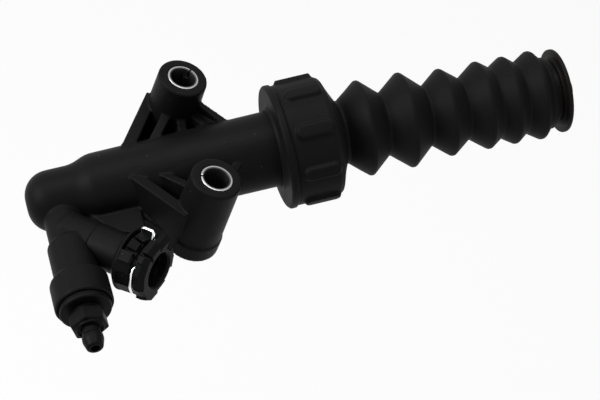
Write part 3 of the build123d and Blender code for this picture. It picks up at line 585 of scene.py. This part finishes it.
# %% Rod head
BALL_X = 32.9
ROD_TILT = math.radians(2.3)
ROD_PLACE = Matrix.Translation((BALL_X * MM, 0, 0)) @ Matrix.Rotation(-ROD_TILT, 4, "Z")
DISC_FACE = 102.5
DOME_FOOT = 8.0
DOME_RISE = 4.8
DOME_STEPS = 14
dome_radius = (DOME_FOOT**2 + DOME_RISE**2) / (2 * DOME_RISE)
dome_centre = DISC_FACE + DOME_RISE - dome_radius
dome_sweep = math.asin(DOME_FOOT / dome_radius)
dome = []
for step in range(DOME_STEPS, -1, -1):
    angle = dome_sweep * step / DOME_STEPS
    dome.append((dome_centre + dome_radius * math.cos(angle), dome_radius * math.sin(angle), 0))
head_outline = rounded([
    (102.02, 0, 0), (102.02, 3.12, 0), (94.4, 3.12, 0.2), (94.4, 10.4, 0.5), (100.2, 10.4, 0.25),
    (100.2, 12.0, 0.3), (101.0, 12.0, 0.25), (101.0, 14.8, 0.4),
    (DISC_FACE, 14.8, 0.5), (DISC_FACE, 8.9, 0.5), *dome,
])
head = turned(head_outline, 144)
head.transform(ROD_PLACE)
finish_piece("rod_head_turned", as_mesh("rod_head_turned", head), "rod_head", "rod", 50.0)

# %% [markdown]
# ## Wire clip
# One length of spring wire: it passes under the collar, and its two bowed legs reach through the slot from
# both sides. One end has a tab that is pulled to let the pipe go. A curve with a round bevel is bent wire
# already, so it is only made a mesh.

# %% Wire clip
CLIP_HALF = [
    (0.0, -10.2), (4.4, -9.0), (7.2, -6.9), (9.2, -3.7), (9.8, -0.4), (8.9, 3.4), (6.6, 5.6), (5.0, 5.0),
]
CLIP_LEVEL = 31.2
CLIP_END = [(4.4, 6.6, 31.2)]
WIRE_RADIUS = 0.56
WIRE_BEND = 1.1
CLIP_TAB = [(6.7, 9.4, 31.1), (7.0, 8.9, 26.8), (6.4, 7.6, 26.2)]


def bent_wire(name, points, radius, corner):
    """A mesh tube along straight runs with rounded corners."""
    curve = bpy.data.curves.new(name, "CURVE")
    curve.dimensions = "3D"
    curve.bevel_depth = radius * MM
    curve.bevel_resolution = 5
    curve.use_fill_caps = True
    line = curve.splines.new("BEZIER")
    stops = []
    for index, here in enumerate(points):
        if index in (0, len(points) - 1):
            stops.append((here, here, here))
            continue
        before = points[index - 1] - here
        after = points[index + 1] - here
        cut = min(corner, before.length * 0.45, after.length * 0.45)
        start, end = here + before.normalized() * cut, here + after.normalized() * cut
        stops.append((start, start, start.lerp(here, 0.6)))
        stops.append((end, end.lerp(here, 0.6), end))
    line.bezier_points.add(len(stops) - 1)
    for stop, (place, left, right) in zip(line.bezier_points, stops):
        stop.handle_left_type = stop.handle_right_type = "FREE"
        stop.co, stop.handle_left, stop.handle_right = place * MM, left * MM, right * MM
    line.resolution_u = 6
    blank = bpy.data.objects.new(name, curve)
    bpy.context.scene.collection.objects.link(blank)
    data = bpy.data.meshes.new_from_object(blank.evaluated_get(bpy.context.evaluated_depsgraph_get()))
    bpy.data.objects.remove(blank)
    return data


left_leg = [(-u, v, CLIP_LEVEL) for u, v in reversed(CLIP_HALF)]
right_leg = [(u, v, CLIP_LEVEL) for u, v in CLIP_HALF[1:-1]]
clip_line = left_leg + right_leg + CLIP_END + CLIP_TAB
clip_points = [PIPE_FOOT + PIPE_WAY * level + PIPE_SIDE * u + UP * v for u, v, level in clip_line]
wire = bent_wire("pipe_clip_wire", clip_points, WIRE_RADIUS, WIRE_BEND)
finish_piece("pipe_clip_wire", wire, "pipe_clip", "clip")

# %% [markdown]
# ## Rubber boot
# One outline runs from the cuff to the end collar. It is turned about a straight line, and then every point
# is moved: the nine grip pads and the mould's seam are lifted, and past the cuff the centre line bends
# a little towards -Y, as the boot hangs in the photograph.

# %% The boot's centre line
BOOT_PIVOT = 56.0
BOOT_TILT = math.radians(3.05)
BOOT_BEND = 8.0


def boot_line(s):
    """The centre line's point and lean at a distance along the boot."""
    part = min(max((s - (BOOT_PIVOT - BOOT_BEND / 2)) / BOOT_BEND, 0.0), 1.0)
    lean = BOOT_TILT * part
    if part <= 0:
        return s, 0.0, 0.0
    if part < 1:
        return s, -BOOT_TILT * part * part * BOOT_BEND / 2, lean
    past = s - BOOT_PIVOT
    return BOOT_PIVOT + past * math.cos(BOOT_TILT), -past * math.sin(BOOT_TILT), lean


# %% The boot's outline
CUFF = [
    (31.5, 13.25, 0), (31.5, 13.95, 0.25), (32.5, 14.5, 0.3), (32.5, 20.9, 0.6), (33.2, 21.55, 0.5),
    (34.9, 21.55, 0.5), (35.3, 20.55, 0.3), (36.0, 20.95, 0.6), (49.8, 21.05, 1.6), (51.4, 20.2, 0.8),
    (52.4, 17.8, 0.8), (53.7, 15.0, 1.2), (55.6, 11.25, 0.8), (56.6, 10.95, 0.8),
]
FOLDS = [
    (64.2, 16.7), (71.5, 11.0), (79.2, 16.7), (86.9, 10.9), (93.6, 15.4), (100.2, 10.9),
    (107.0, 15.5), (111.6, 12.7), (116.6, 15.5), (120.9, 12.7), (126.2, 15.7),
]
CUT_VALLEY = 86.9
CREST_LIP = [
    (-0.75, -0.25, 0.35), (-0.28, 0.0, 0.15), (0, -0.12, 0), (0.28, 0.0, 0.15), (0.75, -0.25, 0.35),
]
BOOT_WALL = 1.6


def outer_outline():
    points = list(CUFF)
    for index, (x, r) in enumerate(FOLDS):
        if x == CUT_VALLEY:
            points += [(x - 0.4, r - 0.15, 0.7), (x, r - 0.15, 0), (x + 0.4, r - 0.15, 0.7)]
        elif index % 2:
            points.append((x, r - 0.15, 1.0))
        else:
            points += [(x + dx, r + dr, radius) for dx, dr, radius in CREST_LIP]
    points += [(129.4, 12.7, 0.9), (130.6, 12.7, 0.35), (130.95, 12.3, 0.3), (130.95, 10.55, 0)]
    return rounded(points)


def inner_outline():
    points = [(130.95, 10.55, 0), (129.4, 10.55, 0.3)]
    for index, (x, r) in reversed(list(enumerate(FOLDS))):
        points.append((x, r - BOOT_WALL, 0.8 if index % 2 and x != CUT_VALLEY else 0))
    points += [(56.5, 9.4, 1.0), (52.0, 13.25, 0.5), (31.5, 13.25, 0)]
    return rounded(points, 3)


# %% Grip pads and seam
PAD_COUNT = 9
PAD_PHASE = 39.2
PAD_MIDDLE = 43.6
PAD_HALF_LENGTH = 4.2
PAD_ROUND = 2.15
PAD_SLOPE = 1.2
PAD_HEIGHT = 1.35
CUFF_RADIUS = 21.0
SEAM = math.radians(94.0)
SEAM_HEIGHT = 0.10
SEAM_HALF_WIDTH = 0.2


def pad_lift(s, turn):
    """How far a grip pad lifts the cuff at a place on it, in millimetres."""
    pitch = 360.0 / PAD_COUNT
    off = (math.degrees(turn) - PAD_PHASE + pitch / 2) % pitch - pitch / 2
    across = max(abs(math.radians(off) * CUFF_RADIUS) - 0.2, 0.0)
    along = max(abs(s - PAD_MIDDLE) - PAD_HALF_LENGTH, 0.0)
    part = min(max(0.5 - (math.hypot(across, along) - PAD_ROUND) / PAD_SLOPE, 0.0), 1.0)
    return PAD_HEIGHT * part * part * (3 - 2 * part)


def boot_place(s, r, turn):
    seam = abs((turn - SEAM + math.pi) % (2 * math.pi) - math.pi) * r
    lift = SEAM_HEIGHT if r > 12 and seam < SEAM_HALF_WIDTH else 0.0
    if 36.4 < s < 51.0 and r > 19.5:
        lift = max(lift, pad_lift(s, turn))
    x, y, lean = boot_line(s)
    side = (r + lift) * math.cos(turn)
    return Vector((x + side * math.sin(lean), y + side * math.cos(lean), (r + lift) * math.sin(turn))) * MM


# %% [markdown]
# The boot joins four bodies in a row, and one piece can bend between only two. So it is made in three
# stretches, cut at a valley's flat and at a crest, where a cut doesn't show.

# %% Boot stretches
FINE_ROW = 0.33
LONG_ROW = 0.9


def split_rows(outline):
    """The outline with more points where the pads need fine rows."""
    out = [outline[0]]
    for (x0, r0), (x1, r1) in zip(outline, outline[1:]):
        on_cuff = 36.0 < (x0 + x1) / 2 < 51.5 and min(r0, r1) > 19
        limit = FINE_ROW if on_cuff else LONG_ROW
        count = max(1, math.ceil(math.hypot(x1 - x0, r1 - r0) / limit))
        out += [(x0 + (x1 - x0) * k / count, r0 + (r1 - r0) * k / count) for k in range(1, count + 1)]
    return out


def boot_part(name, start, end):
    outline = [p for p in split_rows(outer_outline()) if start <= p[0] <= end]
    outline += [p for p in inner_outline() if start <= p[0] <= end]
    made = turned(outline, 360)
    for vert in made.verts:
        x, y, z = vert.co / MM
        vert.co = boot_place(x, math.hypot(y, z), math.atan2(z, y))
    piece = finish_piece(name, as_mesh(name, made), "boot", smooth=50.0)
    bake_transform(piece)


boot_part("boot_cuff_and_folds", 31.5, CUT_VALLEY)
boot_part("boot_middle_fold", CUT_VALLEY, 93.6)
boot_part("boot_last_folds", 93.6, 131.0)

# %% [markdown]
# ## Light
# The part is nearly black, so its form is drawn by soft reflections. One wide lamp stands at the ports' end
# and lights the faces that look that way, a weaker one comes from above, and a faint one fills the side
# that faces the camera.

# %% Lamps
scene = bpy.context.scene
scene.view_settings.view_transform = "Standard"


def area_light(name, place, aim, size, power):
    data = bpy.data.lights.new(name, "AREA")
    data.shape = "RECTANGLE"
    data.size, data.size_y = size
    data.energy = power
    lamp = bpy.data.objects.new(name, data)
    lamp.location = place
    lamp.rotation_euler = (Vector(aim) - Vector(place)).to_track_quat("-Z", "Y").to_euler()
    scene.collection.objects.link(lamp)


LAMPS = [
    ("key", (-0.75, 0.15, 0.65), (0.03, 0, 0), (0.5, 0.5), 9.0),
    ("top", (0.10, 0.25, 0.85), (0.03, 0, 0), (0.9, 0.5), 6.0),
    ("low", (0.5, -0.6, -0.05), (0.05, 0, 0), (0.5, 0.4), 1.0),
]
for lamp_name, place, aim, size, power in LAMPS:
    area_light(lamp_name, place, aim, size, power)
    print("lamp", lamp_name, power, "W")

# %% [markdown]
# ## Floor and background
# The floor lies below the part and takes its soft shadow. A brighter world would whiten it too, but would
# also light the part. So only the camera, and polished metal, see the floor and the world as plain white,
# and the light on the part stays as the lamps give it.

# %% Seen as white
def seen_as_white(tree):
    """A number that is 1 for what the camera, metal and glass see, and 0 for the light on the part."""
    path = tree.nodes.new("ShaderNodeLightPath")
    total = path.outputs["Is Camera Ray"]
    for ray in ("Is Glossy Ray", "Is Transmission Ray"):
        both = tree.nodes.new("ShaderNodeMath")
        both.operation = "MAXIMUM"
        tree.links.new(total, both.inputs[0])
        tree.links.new(path.outputs[ray], both.inputs[1])
        total = both.outputs[0]
    return total


# %% Floor
FLOOR_LEVEL = -0.35
FLOOR_WHITE = 0.85
floor_shape = bmesh.new()
below = Matrix.Translation((0, 0, FLOOR_LEVEL))
bmesh.ops.create_grid(floor_shape, x_segments=8, y_segments=8, size=1.6, matrix=below)
floor = bpy.data.objects.new("floor", as_mesh("floor", floor_shape))
scene.collection.objects.link(floor)
floor_material = bpy.data.materials.new("floor")
floor_material.use_nodes = True
tree = floor_material.node_tree
share = tree.nodes.new("ShaderNodeMath")
share.operation = "MULTIPLY"
share.inputs[1].default_value = FLOOR_WHITE
tree.links.new(seen_as_white(tree), share.inputs[0])
white = tree.nodes.new("ShaderNodeEmission")
mixer = tree.nodes.new("ShaderNodeMixShader")
paint = tree.nodes["Principled BSDF"]
paint.inputs["Base Color"].default_value = (0.92, 0.92, 0.92, 1)
paint.inputs["Roughness"].default_value = 0.9
tree.links.new(share.outputs[0], mixer.inputs[0])
tree.links.new(paint.outputs[0], mixer.inputs[1])
tree.links.new(white.outputs[0], mixer.inputs[2])
tree.links.new(mixer.outputs[0], tree.nodes["Material Output"].inputs["Surface"])
floor.data.materials.append(floor_material)
print("floor at", FLOOR_LEVEL)

# %% World
WORLD_LIGHT = 0.12
world = bpy.data.worlds.new("studio")
scene.world = world
world.use_nodes = True
tree = world.node_tree
back = tree.nodes["Background"]
back.inputs["Color"].default_value = (1, 1, 1, 1)
strength = tree.nodes.new("ShaderNodeMath")
strength.operation = "MULTIPLY_ADD"
tree.links.new(seen_as_white(tree), strength.inputs[0])
strength.inputs[1].default_value = 1.0 - WORLD_LIGHT
strength.inputs[2].default_value = WORLD_LIGHT
tree.links.new(strength.outputs[0], back.inputs["Strength"])

# %% [markdown]
# ## Camera
# The photograph was taken from above the ports' side, a little from the closed end.

# %% Camera
camera_data = bpy.data.cameras.new("camera")
camera_data.lens = 86.4
camera_data.sensor_width = 36.0
camera_data.clip_start = 0.01
CAMERA_TURN = math.radians(-16.8)
CAMERA_TIP = math.radians(54.0)
CAMERA_PLACE = Vector((-47.1, -293.4, 388.0)) * MM
camera = bpy.data.objects.new("camera", camera_data)
right_way = Vector((math.cos(CAMERA_TURN), math.sin(CAMERA_TURN), 0))
level_way = Vector((math.sin(CAMERA_TURN), -math.cos(CAMERA_TURN), 0))
back_way = level_way * math.cos(CAMERA_TIP) + Vector((0, 0, math.sin(CAMERA_TIP)))
up_way = back_way.cross(right_way)
camera_axes = Matrix((right_way, up_way, back_way)).transposed().to_4x4()
camera.matrix_world = Matrix.Translation(CAMERA_PLACE) @ camera_axes
scene.collection.objects.link(camera)
scene.camera = camera
